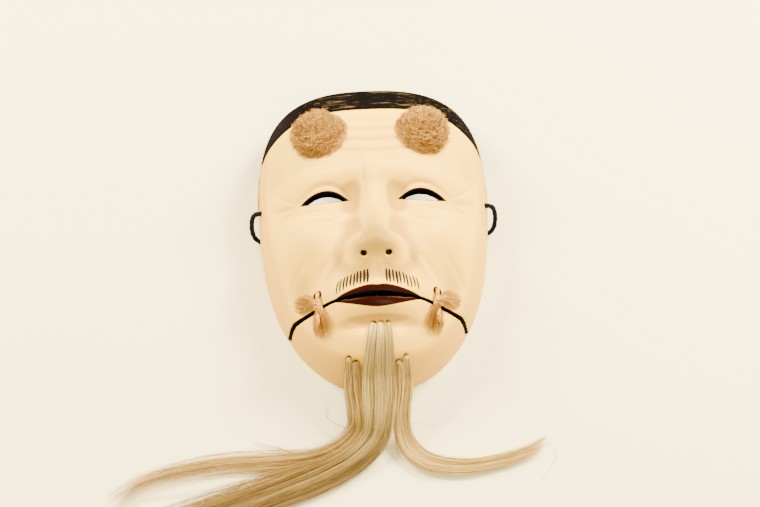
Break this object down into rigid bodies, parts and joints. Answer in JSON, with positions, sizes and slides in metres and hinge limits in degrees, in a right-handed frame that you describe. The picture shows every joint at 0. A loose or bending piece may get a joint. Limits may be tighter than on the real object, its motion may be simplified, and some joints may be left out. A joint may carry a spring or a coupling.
{
  "type": "noh mask",
  "caption": "Old man's noh stage mask worn over the face: thin carved shell with through-cut eyes, sawn-off jaw that rocks on hemp ties, tuft eyebrows and long horsehair beard.",
  "frame": {"origin": "on the plane of the back rim, between the ears, halfway between the chin's rim and the forehead's", "axes": "+X to the viewer's right across the face, +Y from the chin to the forehead, +Z out of the face; the mask lies on Z = 0 with its face up"},
  "size_m": [0.2728, 0.3064, 0.0742],
  "materials": {
    "lacquered_wood": "painted satin gofun over carved cypress",
    "brow_fibre": "matted fluffy fibre",
    "hemp": "twisted hemp cord",
    "hemp_frayed": "frayed hemp",
    "navy_cord": "braided silk",
    "pale_horsehair": "fine hair",
    "golden_horsehair": "fine hair",
    "peg_wood": "raw"
  },
  "bodies": {
    "mask": {"mask_shell": "lacquered_wood", "brow_tuft_left": "brow_fibre", "brow_tuft_right": "brow_fibre", "jaw_tie_left": "hemp", "jaw_tie_right": "hemp", "jaw_tie_tufts_left": "hemp_frayed", "jaw_tie_tufts_right": "hemp_frayed", "ear_cord_left": "navy_cord", "ear_cord_right": "navy_cord", "ear_cord_knot_left": "navy_cord", "ear_cord_knot_right": "navy_cord"},
    "jaw": {"jaw": "lacquered_wood", "beard_centre_left": "pale_horsehair", "beard_centre_middle": "pale_horsehair", "beard_centre_right": "pale_horsehair", "beard_left_outer": "golden_horsehair", "beard_left_inner": "golden_horsehair", "beard_right_inner": "golden_horsehair", "beard_right_outer": "golden_horsehair", "beard_pegs": "peg_wood"}
  },
  "joints": [
    {"name": "jaw_swing", "type": "hinge", "parent": "mask", "child": "jaw", "pos_m": [0, -0.0635, 0.039], "axis": [1, 0, 0], "range_deg": [-4, 2.5]}
  ]
}
